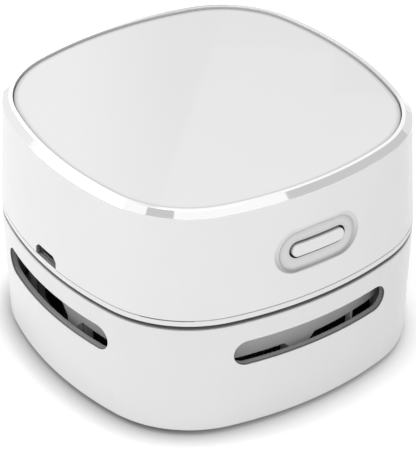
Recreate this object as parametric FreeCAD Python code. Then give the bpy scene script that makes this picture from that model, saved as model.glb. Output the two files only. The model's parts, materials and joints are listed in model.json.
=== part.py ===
import FreeCAD, Part
import math
import os

os.makedirs("parts", exist_ok=True)

Vec = FreeCAD.Vector
UP = Vec(0, 0, 1)
EAST = Vec(1, 0, 0)
NORTH = Vec(0, 1, 0)

# A small desk vacuum cleaner with a rounded-square body. The upper unit, with motor, battery and button,
# lifts straight off the lower unit, which holds the dust cup.
# Millimetres, +Z up. The origin is on the desk under the middle of the body, the button faces -Y
# and the charging socket faces -X.

# Body outline: four shallow side arcs and four tangent corner arcs
half_width = 42.5
side_radius = 83.75
corner_radius = 25.9

# Body heights and walls
foot_height = 1.2
lower_height = 27.7
seam_gap = 0.95
deck_thickness = 1.45
upper_height = 24.95
bevel_height = 1.25
upper_taper = 1.25
lower_taper = 0.73
wall = 2.0
lower_wall = 1.5
floor_thickness = 1.8
cup_floor_thickness = 1.6
top_thickness = 1.5
lip_radius = 0.35
base_radius = 0.6
parting_chamfer = 0.15

# Rim and top panel
bevel_width = 1.5
rim_land = 0.85
panel_recess = 0.5
panel_thickness = 1.5
panel_gap = 0.2
panel_chamfer = 0.15
adhesive_thickness = 0.2
adhesive_margin = 3.0

# Clearances
fit_gap = 0.1
shaft_gap = 0.02
screw_gap = 0.05
head_gap = 0.2
cut_overrun = 2.0

# Exhaust slots
slot_half_length = 20.3
slot_half_height = 3.2
slot_drop = 8.2
slot_step = 0.15
slot_step_depth = 0.45

# Button, its dish and its switch
button_rise = 12.0
dish_half_length = 10.95
dish_half_height = 5.25
dish_depth = 0.3
dish_slope = 0.45
button_half_length = 6.8
button_half_height = 1.5
button_gap = 0.5
button_proud = 0.6
button_edge = 0.3
button_travel = 0.5
flange_margin = 1.2
flange_thickness = 0.8
nub_radius = 1.25
nub_length = 1.0
switch_width = 6.0
switch_depth = 3.5
plunger_radius = 1.75
plunger_proud = 1.0
plunger_length = 1.8
switch_board_half_length = 13.5
switch_board_half_height = 4.5
switch_board_boss_x = 11.0

# Charging socket
socket_half_width = 3.75
socket_height = 2.6
socket_depth = 5.6
socket_recess = 1.2
socket_wall = 0.3
socket_chamfer = 1.0
socket_floor_gap = 0.15
tongue_thickness = 0.6
tongue_half_width = 2.35
tongue_root = 0.9
tongue_setback = 0.8
port_half_width = 4.05
port_height = 2.9
port_chamfer = 1.15

# Dust cup, screen and seal
cup_inset = 5.2
cup_wall = 1.6
collar_gap = 0.6
collar_width = 1.6
cup_flange_drop = 1.7
cup_flange_thickness = 1.4
window_sill = 2.2
window_corner = 1.6
wide_window_corner = 2.4
slanted_window_corner = 4.4
window_corner_limit_share = 1 / 3
low_window_drop = 4.7
high_window_drop = 1.7
rib_depth = 1.9
rib_thickness = 1.0
rib_gap = 0.6
screen_gap = 0.1
screen_thickness = 0.5
skirt_gap = 0.5
skirt_wall = 1.6
skirt_drop = 4.1
seal_width = 0.9
seal_height = 1.4
seal_groove_depth = 0.6
seal_rise = 1.4

# Motor
motor_radius = 12.2
motor_length = 12.3
can_wall = 0.8
end_cap_thickness = 1.3
bearing_radius = 3.0
bearing_length = 1.2
shaft_radius = 1.0
magnet_thickness = 1.4
magnet_half_angle = 70.0
magnet_length = 7.0
armature_radius = 9.4
armature_length = 8.0
armature_slot = 1.2
armature_slots = 3
commutator_radius = 2.5
commutator_length = 1.4
terminal_x = 3.5
terminal_y = 6.0
terminal_width = 2.0
terminal_thickness = 0.4
terminal_height = 2.4
well_wall = 1.5
well_floor = 1.5
well_depth = 6.6
well_rim = 3.0

# Impeller
impeller_radius = 22.0
impeller_plate = 1.4
impeller_clearance = 1.9
blade_floor_gap = 2.0
blade_thickness = 1.2
blade_inner_radius = 6.0
blade_count = 9
blade_lean = 32.0
hub_radius = 4.0
hub_skirt_radius = 8.0
hub_drop = 7.7
shaft_engagement = 6.6

# Intake, nozzle plate and brush
intake_radius = 13.0
intake_collar_wall = 1.2
intake_collar_rise = 2.2
nozzle_radius = 24.8
nozzle_recess = 0.2
nozzle_chamfer = 0.4
brush_radius = 18.0
brush_base_half_width = 1.2
brush_base_thickness = 0.9
brush_base_recess = 0.1
tuft_count = 44
tuft_radius = 0.7
tuft_floor_gap = 0.25

# Feet
foot_radius = 4.0
foot_pocket = 0.4
foot_place = 26.0

# Battery and its tape
cell_radius = 7.1
cell_length = 43.0
cell_wall_gap = 3.1
cell_rise = 0.4
guard_thickness = 1.0
guard_radius = 6.8
cradle_x = 13.0
cradle_thickness = 3.0
cradle_wall = 1.5
tape_width = 10.0
tape_thickness = 0.4

# Boards
board_thickness = 1.0
board_well_gap = 3.5
board_wall_gap = 3.9
board_boss_gap = 0.45
board_screw_margin_x = 2.6
board_screw_margin_y = 2.2
board_boss_radius = 2.0

# Screws
screw_radius = 0.95
screw_head_radius = 1.8
screw_head_height = 0.8
pan_head_height = 1.2
boss_radius = 2.75
short_boss_radius = 2.4
casing_screw_x = 29.3
casing_screw_y = 14.7
casing_screw_length = 8.0
cup_screw_place = 20.5
cup_boss_height = 5.4
nozzle_screw_place = 15.3
nozzle_boss_height = 2.4
board_screw_length = 2.4
motor_screw_y = 7.0
small_screw_radius = 0.7
small_head_radius = 1.4
screw_bite_gap = 0.4
cross_width_share = 0.25
cross_length_share = 1.2
cross_depth_share = 0.5

# Leads
lead_diameter = 1.2
lead_arc_share = 0.45

# Levels worked out from the heights
z_shell = foot_height
z_floor = z_shell + floor_thickness
z_seam = z_shell + lower_height
z_deck = z_seam + seam_gap
z_upper = z_deck + deck_thickness
z_shoulder = z_upper + upper_height
z_top = z_shoulder + bevel_height
z_panel_top = z_top - panel_recess
z_panel = z_panel_top - panel_thickness
z_pocket = z_panel - adhesive_thickness
z_ceiling = z_pocket - top_thickness
z_cup_floor = z_floor + cup_floor_thickness
rim_inset = upper_taper + bevel_width + rim_land

# Motor stack, downwards from the deck
well_inner = motor_radius + head_gap
well_outer = well_inner + well_wall
z_well = z_deck - well_depth
z_motor = z_well + well_floor
z_motor_top = z_motor + motor_length
z_cap_top = z_motor_top + end_cap_thickness
z_impeller_top = z_well - impeller_clearance
z_impeller_plate = z_impeller_top - impeller_plate
z_blade = z_cup_floor + intake_collar_rise + blade_floor_gap
z_shaft = z_impeller_top - shaft_engagement

# Levels of the slots, ribs and button
slot_z = z_seam - slot_drop
low_window_top = slot_z - low_window_drop
high_window_top = slot_z - high_window_drop
rib_top = z_deck - skirt_drop - rib_gap
button_z = z_upper + button_rise

# Charging socket and main board levels
z_socket = z_upper + socket_floor_gap
z_board = z_socket + socket_height
z_board_top = z_board + board_thickness

# The main board lies between the motor well, the wall and the screw bosses
board_inner_x = well_outer + board_well_gap
board_outer_x = half_width - board_wall_gap
board_half_width = casing_screw_y - boss_radius - board_boss_gap

# The corner arcs keep one centre for every inset
side_centre = side_radius - half_width
corner_span = side_radius - corner_radius
corner_centre = (math.sqrt(8 * corner_span ** 2 - 4 * side_centre ** 2) - 2 * side_centre) / 4
side_angle = math.atan2(corner_centre, corner_centre + side_centre)


def export(shape, name):
    shape.exportStep("parts/" + name + ".step")


def fuse(shapes):
    return shapes[0].fuse(shapes[1:]).removeSplitter()


def group(shapes):
    return Part.makeCompound(shapes)


def turned(shape, degrees):
    copy = shape.copy()
    copy.rotate(Vec(0, 0, 0), UP, degrees)
    return copy


def moved(shape, x, y, z):
    copy = shape.copy()
    copy.translate(Vec(x, y, z))
    return copy


def box(x0, x1, y0, y1, z0, z1):
    return Part.makeBox(x1 - x0, y1 - y0, z1 - z0, Vec(x0, y0, z0))


def drum(radius, z0, z1, x=0, y=0):
    return Part.makeCylinder(radius, z1 - z0, Vec(x, y, z0), UP)


def tube(outer, inner, z0, z1):
    return drum(outer, z0, z1).cut(drum(inner, z0, z1))


def outline(inset, z):
    """Body outline drawn inwards by inset, as one closed wire."""
    edges = []
    for quarter in range(4):
        start = 90 * quarter
        for centre, radius, a0, a1 in (
            (Vec(-side_centre, 0, 0), side_radius - inset, -side_angle, side_angle),
            (Vec(corner_centre, corner_centre, 0), corner_radius - inset, side_angle,
             math.pi / 2 - side_angle),
        ):
            points = []
            for angle in (a0, (a0 + a1) / 2, a1):
                point = centre + Vec(radius * math.cos(angle), radius * math.sin(angle), z)
                points.append(FreeCAD.Rotation(UP, start).multVec(point))
            edges.append(Part.Arc(*points).toShape())
    return Part.Wire(edges)


def prism(inset, z0, z1):
    return Part.Face(outline(inset, z0)).extrude(Vec(0, 0, z1 - z0))


def ring(outer_inset, inner_inset, z0, z1):
    return prism(outer_inset, z0, z1).cut(prism(inner_inset, z0, z1))


def stack(profile):
    """Body through outlines given as (height, inset), from low to high."""
    return Part.makeLoft([outline(inset, z) for z, inset in profile], True, True)


def rounded(z, inset, radius, rising):
    """Quarter round between an outer wall and a level face, as three (height, inset) steps."""
    steps = []
    for degrees in (0, 45, 90):
        angle = math.radians(degrees)
        drop = radius * (1 - math.sin(angle))
        draw = radius * (1 - math.cos(angle))
        steps.append((z - drop, inset + draw) if rising else (z + drop, inset + draw))
    return steps if rising else steps[::-1]


def upper_inset(z):
    return upper_taper * (z - z_upper) / (z_shoulder - z_upper)


def lower_inset(z):
    return lower_taper * (z_seam - z) / (z_seam - z_shell)


def wall_y(inset, x=0):
    """How far out the front wall stands at x, as a positive length."""
    return math.sqrt((side_radius - inset) ** 2 - x ** 2) - side_centre


def pill_wire(half_length, half_height, y, z):
    reach = half_length - half_height
    a = Vec(-reach, y, z + half_height)
    b = Vec(reach, y, z + half_height)
    c = Vec(half_length, y, z)
    d = Vec(reach, y, z - half_height)
    e = Vec(-reach, y, z - half_height)
    f = Vec(-half_length, y, z)
    return Part.Wire([
        Part.LineSegment(a, b).toShape(),
        Part.Arc(b, c, d).toShape(),
        Part.LineSegment(d, e).toShape(),
        Part.Arc(e, f, a).toShape(),
    ])


def pill(half_length, half_height, y0, y1, z):
    return Part.Face(pill_wire(half_length, half_height, y0, z)).extrude(Vec(0, y1 - y0, 0))


def screw(head_radius, head_height, radius, length, place, direction):
    """Headed screw with a cross slot, from the middle of the head's seat in the direction where it bites."""
    head = Part.makeCylinder(head_radius, head_height, Vec(0, 0, -head_height), UP)
    shank = Part.makeCylinder(radius, length, Vec(0, 0, 0), UP)
    slot_width = head_radius * cross_width_share
    slot_length = head_radius * cross_length_share
    slot_depth = head_height * cross_depth_share
    bars = []
    for turn in (0, 90):
        bar = box(-slot_length / 2, slot_length / 2, -slot_width / 2, slot_width / 2, -head_height,
                  slot_depth - head_height)
        bars.append(turned(bar, turn))
    body = head.fuse(shank).removeSplitter().cut(fuse(bars))
    body.Placement = FreeCAD.Placement(place, FreeCAD.Rotation(UP, direction))
    return body


def corners(x, y):
    return [(sx * x, sy * y) for sx in (1, -1) for sy in (1, -1)]


# Upper casing

port_z0 = z_upper - cut_overrun
port_z1 = z_upper + port_height
switch_face_y = -(wall_y(upper_inset(button_z) + wall, button_half_length + flange_margin) - fit_gap)
flange_back_y = switch_face_y + flange_thickness
plunger_tip_y = flange_back_y + nub_length
switch_front_y = plunger_tip_y + plunger_proud
switch_board_y = switch_front_y + switch_depth
switch_board_back = switch_board_y + board_thickness


def port_tool():
    """Charging opening: its two upper corners are cut off at 45 degrees."""
    w = port_half_width
    points = [Vec(0, -w, port_z0), Vec(0, w, port_z0), Vec(0, w, port_z1 - port_chamfer),
              Vec(0, w - port_chamfer, port_z1), Vec(0, port_chamfer - w, port_z1),
              Vec(0, -w, port_z1 - port_chamfer)]
    face = Part.Face(Part.makePolygon(points + points[:1]))
    tool = face.extrude(Vec(-wall - cut_overrun, 0, 0))
    return moved(tool, wall + wall / 2 - half_width, 0, 0)


def dish_tool():
    """Pill-shaped dish with sloping sides; its floor follows the wall."""
    mouth_y = -half_width - cut_overrun
    inset = upper_inset(button_z)
    surface_y = -wall_y(inset)
    deep_y = surface_y + wall
    slope = dish_slope / dish_depth
    out = (surface_y - mouth_y) * slope
    back = (deep_y - surface_y) * slope
    mouth = pill_wire(dish_half_length + out, dish_half_height + out, mouth_y, button_z)
    deep = pill_wire(dish_half_length - back, dish_half_height - back, deep_y, button_z)
    cone = Part.makeLoft([mouth, deep], True, True)
    core = stack([(z_upper, dish_depth), (z_shoulder, upper_taper + dish_depth)])
    return cone.cut(core)


def upper_casing():
    outer = stack([(z_upper, parting_chamfer), (z_upper + parting_chamfer, 0), (z_shoulder, upper_taper),
                   (z_top, upper_taper + bevel_width)])
    cavity = stack([(z_upper, wall), (z_ceiling, wall + upper_inset(z_ceiling))])
    body = outer.cut(cavity).cut(prism(rim_inset, z_pocket, z_top + cut_overrun))
    hole = pill(button_half_length + button_gap, button_half_height + button_gap,
                -half_width, -half_width / 2, button_z)
    body = body.cut(dish_tool()).cut(hole).cut(port_tool())
    adds = []
    for x, y in corners(casing_screw_x, casing_screw_y):
        boss = drum(boss_radius, z_upper, z_ceiling, x, y)
        pilot = drum(screw_radius + screw_gap, z_upper, z_upper + casing_screw_length, x, y)
        adds.append(boss.cut(pilot))
    front = stack([(z_upper, wall / 2), (z_ceiling, wall / 2 + upper_inset(z_ceiling))])
    for side in (1, -1):
        x = side * switch_board_boss_x
        post = Part.makeCylinder(board_boss_radius, half_width + switch_board_y,
                                 Vec(x, -half_width, button_z), NORTH)
        pilot = Part.makeCylinder(small_screw_radius + screw_gap, board_screw_length + screw_bite_gap,
                                  Vec(x, switch_board_y, button_z), -NORTH)
        adds.append(post.common(front).cut(pilot))
    return fuse([body] + adds)


def top_panel():
    inset = rim_inset + panel_gap
    return stack([(z_panel, inset), (z_panel_top - panel_chamfer, inset),
                  (z_panel_top, inset + panel_chamfer)])


# Motor deck: plate, skirt, motor well, board bosses and battery cradles

skirt_inset = cup_inset + cup_wall + skirt_gap
seal_z = z_deck - skirt_drop + seal_rise
cell_z = z_upper + cell_rise + cell_radius
cell_y = wall_y(wall + upper_inset(cell_z), cell_length / 2) - cell_wall_gap - cell_radius
board_screw_x0 = board_inner_x + board_screw_margin_x
board_screw_x1 = board_outer_x - board_screw_margin_x
board_screw_y = board_half_width - board_screw_margin_y
board_screw_places = [(-x, s * board_screw_y) for x in (board_screw_x0, board_screw_x1) for s in (1, -1)]


def cradle(x):
    half = cell_radius + cradle_wall
    block = box(x - cradle_thickness / 2, x + cradle_thickness / 2, cell_y - half, cell_y + half,
                z_upper - deck_thickness / 2, cell_z)
    bed = Part.makeCylinder(cell_radius + fit_gap, cradle_thickness,
                            Vec(x - cradle_thickness / 2, cell_y, cell_z), EAST)
    return block.cut(bed)


def motor_deck():
    plate = stack([(z_deck, parting_chamfer), (z_deck + parting_chamfer, 0),
                   (z_upper - parting_chamfer, 0), (z_upper, parting_chamfer)])
    skirt = ring(skirt_inset, skirt_inset + skirt_wall, z_deck - skirt_drop, z_deck + deck_thickness / 2)
    groove = ring(skirt_inset - cut_overrun, skirt_inset + seal_groove_depth, seal_z - fit_gap,
                  seal_z + seal_height + fit_gap)
    well = drum(well_outer, z_well, z_upper + well_rim)
    adds = [plate, skirt.cut(groove), well]
    for x, y in board_screw_places:
        adds.append(drum(board_boss_radius, z_upper - deck_thickness / 2, z_board, x, y))
    adds += [cradle(cradle_x), cradle(-cradle_x)]
    deck = fuse(adds)
    cuts = [drum(well_inner, z_motor, z_upper + well_rim),
            drum(bearing_radius + head_gap, z_well, z_motor)]
    for side in (1, -1):
        cuts.append(drum(screw_radius + head_gap, z_well, z_motor, 0, side * motor_screw_y))
    for x, y in board_screw_places:
        cuts.append(drum(small_screw_radius + screw_gap, z_board - board_screw_length, z_board, x, y))
    for x, y in corners(casing_screw_x, casing_screw_y):
        cuts.append(drum(screw_radius + head_gap, z_deck, z_upper, x, y))
    return deck.cut(cuts)


def seal_ring():
    mid = seal_z + seal_height / 2
    outer = cup_inset + cup_wall + screw_gap
    inner = skirt_inset + seal_groove_depth - screw_gap
    lip = outer + seal_width / 2
    body = stack([(seal_z, lip), (mid, outer), (seal_z + seal_height, lip)])
    return body.cut(prism(inner, seal_z, seal_z + seal_height))


# Button and switch

def power_button():
    face_inset = dish_depth - button_proud
    front = stack([(z_upper, face_inset), (z_shoulder, upper_taper + face_inset)])
    stem = pill(button_half_length, button_half_height, -half_width, switch_face_y + flange_thickness / 2,
                button_z)
    cap = stem.common(front)
    face_edges = [edge for edge in cap.Edges if edge.BoundBox.YMax < -wall_y(wall)]
    cap = cap.makeFillet(button_edge, face_edges)
    flange = pill(button_half_length + flange_margin, button_half_height + flange_margin, switch_face_y,
                  flange_back_y, button_z)
    nub = Part.makeCylinder(nub_radius, nub_length + flange_thickness / 2,
                            Vec(0, flange_back_y - flange_thickness / 2, button_z), NORTH)
    return fuse([cap, flange, nub])


def switch_plunger():
    return Part.makeCylinder(plunger_radius, plunger_length, Vec(0, plunger_tip_y, button_z), NORTH)


def tact_switch():
    half = switch_width / 2
    body = box(-half, half, switch_front_y, switch_board_y, button_z - half, button_z + half)
    bore_depth = plunger_length - plunger_proud + button_travel + head_gap
    bore = Part.makeCylinder(plunger_radius + screw_gap, bore_depth, Vec(0, switch_front_y, button_z),
                             NORTH)
    return body.cut(bore)


def switch_board():
    board = box(-switch_board_half_length, switch_board_half_length, switch_board_y, switch_board_back,
                button_z - switch_board_half_height, button_z + switch_board_half_height)
    for side in (1, -1):
        hole = Part.makeCylinder(small_screw_radius + head_gap, board_thickness,
                                 Vec(side * switch_board_boss_x, switch_board_y, button_z), NORTH)
        board = board.cut(hole)
    return board


def switch_board_screws():
    return group([
        screw(small_head_radius, screw_head_height, small_screw_radius, board_thickness + board_screw_length,
              Vec(side * switch_board_boss_x, switch_board_back, button_z), -NORTH)
        for side in (1, -1)
    ])


# Main board and charging socket

socket_x = -(half_width - socket_recess)


def socket_profile(shrink):
    """Socket section: its two upper corners are cut off."""
    w = socket_half_width - shrink
    z0 = z_socket + shrink
    z1 = z_board - shrink
    c = socket_chamfer
    points = [Vec(0, -w, z0), Vec(0, w, z0), Vec(0, w, z1 - c), Vec(0, w - c, z1), Vec(0, c - w, z1),
              Vec(0, -w, z1 - c)]
    return Part.Face(Part.makePolygon(points + points[:1]))


def usb_shell():
    body = socket_profile(0).extrude(Vec(socket_depth, 0, 0))
    hollow = socket_profile(socket_wall).extrude(Vec(socket_depth - socket_wall, 0, 0))
    return moved(body.cut(hollow), socket_x, 0, 0)


def usb_tongue():
    back = socket_x + socket_depth - socket_wall
    z1 = z_board - socket_wall - tongue_thickness
    block = box(back - tongue_root, back, -tongue_half_width, tongue_half_width, z1 - tongue_thickness,
                z_board - socket_wall)
    blade = box(socket_x + tongue_setback, back, -tongue_half_width, tongue_half_width,
                z1 - tongue_thickness / 2, z1 + tongue_thickness / 2)
    return block.fuse(blade).removeSplitter()


def main_board():
    board = box(-board_outer_x, -board_inner_x, -board_half_width, board_half_width, z_board, z_board_top)
    for x, y in board_screw_places:
        board = board.cut(drum(small_screw_radius + head_gap, z_board, z_board_top, x, y))
    return board


def board_screws():
    return group([
        screw(small_head_radius, screw_head_height, small_screw_radius,
              board_thickness + board_screw_length - screw_bite_gap, Vec(x, y, z_board_top), -UP)
        for x, y in board_screw_places
    ])


# Parts on the main board: lengths along X and Y and heights
chip_x = 4.9
chip_y = 3.9
chip_height = 1.5
transistor_x = 2.9
transistor_y = 2.4
transistor_height = 1.1
passive_x = 2.0
passive_y = 1.25
passive_height = 0.6
passive_gap = 0.55
chip_gap = 0.8
part_row_gap = 1.6

# Where the chip stands along the board, as a share of the board's length
chip_share = 0.66
chip_place = -board_inner_x - (board_outer_x - board_inner_x) * chip_share


def on_board(length, width, height, places):
    blocks = []
    for x, y in places:
        blocks.append(box(x - length / 2, x + length / 2, y - width / 2, y + width / 2, z_board_top,
                          z_board_top + height))
    return group(blocks)


def charge_chip():
    return on_board(chip_x, chip_y, chip_height, [(chip_place, 0)])


def motor_transistor():
    x = chip_place + chip_x / 2 + chip_gap * 2 + transistor_x / 2
    return on_board(transistor_x, transistor_y, transistor_height, [(x, 0)])


def board_passives():
    """Three beside the chip on one side, two on the other, and a pair towards the socket."""
    row_y = chip_y / 2 + part_row_gap + passive_y / 2
    pitch = passive_x + passive_gap
    places = [(chip_place + (1 - k) * pitch, row_y) for k in range(3)]
    places += [(chip_place + (1 - k) * pitch, -row_y) for k in range(2)]
    end_x = chip_place - chip_x / 2 - chip_gap - passive_x / 2
    places += [(end_x, side * (passive_y + chip_gap) / 2) for side in (1, -1)]
    return on_board(passive_x, passive_y, passive_height, places)


# Motor

def motor_can():
    body = drum(motor_radius, z_motor, z_motor_top)
    body = body.fuse(drum(bearing_radius, z_motor - bearing_length, z_motor + can_wall))
    body = body.cut(drum(motor_radius - can_wall, z_motor + can_wall, z_motor_top))
    body = body.cut(drum(shaft_radius + screw_gap, z_motor - bearing_length, z_motor + can_wall))
    for side in (1, -1):
        body = body.cut(drum(screw_radius + screw_gap, z_motor, z_motor + can_wall, 0,
                             side * motor_screw_y))
    return body.removeSplitter()


def motor_end_cap():
    body = drum(motor_radius - can_wall - fit_gap, z_motor_top - end_cap_thickness, z_cap_top)
    body = body.fuse(drum(bearing_radius, z_cap_top, z_cap_top + bearing_length)).removeSplitter()
    bore_top = z_cap_top + bearing_length / 2
    return body.cut(drum(shaft_radius + screw_gap, z_motor_top - end_cap_thickness, bore_top))


def motor_terminals():
    tabs = []
    for side in (1, -1):
        y = side * terminal_y
        tabs.append(box(-terminal_x, terminal_thickness - terminal_x, y - terminal_width / 2,
                        y + terminal_width / 2, z_cap_top, z_cap_top + terminal_height))
    return group(tabs)


z_works = z_motor + can_wall + head_gap
magnet_outer = motor_radius - can_wall - fit_gap


def motor_magnets():
    arc = tube(magnet_outer, magnet_outer - magnet_thickness, z_works, z_works + magnet_length)
    reach = motor_radius * 2
    spread = math.radians(magnet_half_angle)
    keep_x = reach * math.cos(spread)
    keep_y = reach * math.sin(spread)
    points = [Vec(0, 0, z_works), Vec(keep_x, -keep_y, z_works), Vec(reach, 0, z_works),
              Vec(keep_x, keep_y, z_works)]
    wedge = Part.Face(Part.makePolygon(points + points[:1])).extrude(Vec(0, 0, magnet_length))
    piece = arc.common(wedge)
    return group([piece, turned(piece, 180)])


def motor_armature():
    body = drum(armature_radius, z_works + head_gap, z_works + head_gap + armature_length)
    for k in range(armature_slots):
        slot = box(armature_radius / 2, armature_radius * 2, -armature_slot / 2, armature_slot / 2, z_works,
                   z_works + armature_length * 2)
        body = body.cut(turned(slot, 360 * k / armature_slots))
    top = z_works + head_gap + armature_length
    body = body.fuse(drum(commutator_radius, top - fit_gap, top + commutator_length)).removeSplitter()
    return body.cut(drum(shaft_radius + shaft_gap, z_works, top + commutator_length))


def motor_shaft():
    return drum(shaft_radius, z_shaft, z_cap_top + bearing_length / 2 - fit_gap)


def motor_screws():
    return group([
        screw(small_head_radius, screw_head_height, screw_radius, well_floor + can_wall,
              Vec(0, side * motor_screw_y, z_well), UP)
        for side in (1, -1)
    ])


def impeller():
    plate = drum(impeller_radius, z_impeller_plate, z_impeller_top)
    hub = drum(hub_radius, z_impeller_plate - hub_drop, z_impeller_plate)
    cone = Part.makeCone(hub_radius, hub_skirt_radius, hub_drop / 2,
                         Vec(0, 0, z_impeller_plate - hub_drop / 2), UP)
    adds = [plate, hub, cone]
    # Each blade leans back from the hub to the tip and lies between two cylinders about one axis
    chord = impeller_radius
    swing = math.radians(blade_lean)
    axis = Vec(chord * math.sin(swing), -chord * math.cos(swing), 0)
    to_hub = Vec(blade_inner_radius, 0, 0) - axis
    blade_arc = to_hub.Length
    z_root = z_impeller_plate + impeller_plate / 2
    outer = drum(blade_arc + blade_thickness / 2, z_blade, z_root, axis.x, axis.y)
    inner = drum(blade_arc - blade_thickness / 2, z_blade, z_root, axis.x, axis.y)
    span = tube(impeller_radius, blade_inner_radius, z_blade, z_root)
    half = box(0, impeller_radius, -impeller_radius, impeller_radius, z_blade, z_root)
    blade = outer.cut(inner).common(span).common(half)
    for k in range(blade_count):
        adds.append(turned(blade, 360 * k / blade_count))
    return fuse(adds).cut(drum(shaft_radius + shaft_gap, z_shaft, z_impeller_top))


# Battery

def battery_cell():
    body = Part.makeCylinder(cell_radius, cell_length, Vec(-cell_length / 2, cell_y, cell_z), EAST)
    return body.makeFillet(button_edge, [e for e in body.Edges if len(e.Vertexes) == 1])


def battery_guard():
    return Part.makeCylinder(guard_radius, guard_thickness,
                             Vec(-cell_length / 2 - guard_thickness, cell_y, cell_z), EAST)


def battery_tape():
    """Strip over the cell, down both sides to the deck."""
    inner = cell_radius + screw_gap
    outer = inner + tape_thickness
    x0 = -tape_width / 2

    def arch(radius):
        round_part = Part.makeCylinder(radius, tape_width, Vec(x0, cell_y, cell_z), EAST)
        leg = box(x0, -x0, cell_y - radius, cell_y + radius, z_upper, cell_z)
        return round_part.fuse(leg).removeSplitter()

    body = arch(outer).cut(arch(inner))
    return body.common(box(x0, -x0, cell_y - outer, cell_y + outer, z_upper, cell_z + outer))


# Leads

def lead(name, points, diameter=lead_diameter):
    """Round wire along straight runs joined by tangent arcs."""
    edges = []
    last = points[0]
    radii = []
    for before, corner, after in zip(points, points[1:], points[2:]):
        back = before - corner
        ahead = after - corner
        shorter = min(back.Length, ahead.Length)
        back.normalize()
        ahead.normalize()
        half_turn = (math.pi - back.getAngle(ahead)) / 2
        cut = lead_arc_share * shorter
        radius = cut / math.tan(half_turn)
        bisector = back + ahead
        bisector.normalize()
        near = corner + back * cut
        far = corner + ahead * cut
        middle = corner + bisector * (radius / math.cos(half_turn) - radius)
        edges.append(Part.LineSegment(last, near).toShape())
        edges.append(Part.Arc(near, middle, far).toShape())
        last = far
        radii.append(radius)
    edges.append(Part.LineSegment(last, points[-1]).toShape())
    path = Part.Wire(edges)
    circle = Part.Wire(Part.makeCircle(diameter / 2, points[0], points[1] - points[0]))
    body = path.makePipeShell([circle], True, False)
    expected = path.Length * math.pi * diameter ** 2 / 4
    print(name, "length", round(path.Length, 1), "least bend", round(min(radii), 2), "volume ratio",
          round(body.Volume / expected, 4))
    return body


# Places on the main board where the leads are soldered
motor_pad_x = board_inner_x + board_screw_margin_x + small_head_radius * 2
battery_pad_x = motor_pad_x + lead_diameter * 2
switch_pad_x = battery_pad_x + lead_diameter / 2
lead_pitch = 3.0
outer_pad_share = 0.7
outer_pad_y = board_half_width * outer_pad_share
lead_arch = 9.0
lead_crest = z_board_top + lead_arch

# Middle points of the battery leads, as shares of the casing screw's X, the cell's Y and the cell's height
battery_route_shares = [
    [(-0.931, 0, 1.0), (-1.059, 0.92, 1.037), (-0.867, 0.684, 1.119)],
    [(-0.918, 0, 1.0), (-0.976, 0.774, 1.003), (-0.795, 0.613, 1.014)],
]
guard_pad_shares = [0.34, -0.28]


def motor_lead(side):
    y = side * terminal_y
    start_z = z_cap_top + terminal_height / 2
    pad_y = y - side * lead_diameter / 2
    return [Vec(-terminal_x, y, start_z), Vec(-terminal_x - lead_arch, y, start_z),
            Vec(-motor_pad_x, pad_y, lead_crest), Vec(-motor_pad_x, pad_y, z_board_top)]


def battery_lead(place):
    """Runs square out of the guard disc, past the casing boss and down to the board."""
    shares = battery_route_shares[place]
    start_y = cell_y + guard_radius * guard_pad_shares[place]
    first = Vec(casing_screw_x * shares[0][0], start_y, cell_z)
    middle = [Vec(casing_screw_x * x, cell_y * y, cell_z * z) for x, y, z in shares[1:]]
    pad_x = battery_pad_x - place * lead_pitch
    crest = lead_crest - place * lead_diameter * 2
    return [Vec(-cell_length / 2 - guard_thickness, start_y, cell_z), first] + middle + [
        Vec(-pad_x, outer_pad_y, crest), Vec(-pad_x, outer_pad_y, z_board_top)]


def switch_lead(place):
    start_x = -switch_width - place * lead_diameter * 2
    pad_x = switch_pad_x + place * lead_pitch
    start_z = button_z - lead_diameter
    return [Vec(start_x, switch_board_back, start_z), Vec(start_x, switch_board_back + lead_arch, start_z),
            Vec(start_x - lead_arch, -board_half_width - lead_arch / 2 - place * lead_diameter, start_z),
            Vec(-pad_x, -outer_pad_y, start_z), Vec(-pad_x, -outer_pad_y, z_board_top)]


# Lower casing

cup_screw_seat = z_shell + screw_head_height + fit_gap


def lower_casing():
    outer = stack(rounded(z_shell, lower_taper, base_radius, False) + rounded(z_seam, 0, lip_radius, True))
    cavity = stack([(z_floor, lower_wall + lower_inset(z_floor)), (z_seam, lower_wall)])
    body = outer.cut(cavity)
    inner_slot = pill(slot_half_length - slot_step, slot_half_height - slot_step, -half_width - cut_overrun,
                      -half_width / 2, slot_z)
    # The outer part of the wall is cut a little wider, which leaves a fine step round each slot
    skin = stack([(z_floor, slot_step_depth + lower_inset(z_floor)), (z_seam, slot_step_depth)])
    outer_slot = pill(slot_half_length, slot_half_height, -half_width - cut_overrun, -half_width / 2, slot_z)
    outer_slot = outer_slot.cut(skin)
    cuts = [drum(nozzle_radius + head_gap, z_shell, z_floor)]
    for quarter in range(4):
        cuts += [turned(inner_slot, 90 * quarter), turned(outer_slot, 90 * quarter)]
    for x, y in corners(foot_place, foot_place):
        cuts.append(drum(foot_radius + fit_gap, z_shell, z_shell + foot_pocket, x, y))
    for x, y in corners(cup_screw_place, cup_screw_place):
        cuts.append(drum(screw_head_radius + head_gap, z_shell, cup_screw_seat, x, y))
        cuts.append(drum(screw_radius + head_gap, z_shell, z_floor, x, y))
    return body.cut(cuts)


# Dust cup. Window spans are shares of the half width, from left to right on the face seen from outside,
# each with its top and with how much is cut off its upper left and upper right corners.
front_windows = [
    (-0.45, -0.082, low_window_top, window_corner, window_corner),
    (0.038, 0.326, low_window_top, window_corner, 0),
    (0.344, 0.57, low_window_top, 0, window_corner),
]
side_windows = [
    (-0.5, -0.004, high_window_top, window_corner, slanted_window_corner),
    (0.078, 0.45, low_window_top, wide_window_corner, window_corner),
]
front_rib_shares = [-0.082, 0.038]
side_rib_shares = [-0.012, 0.104]

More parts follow.
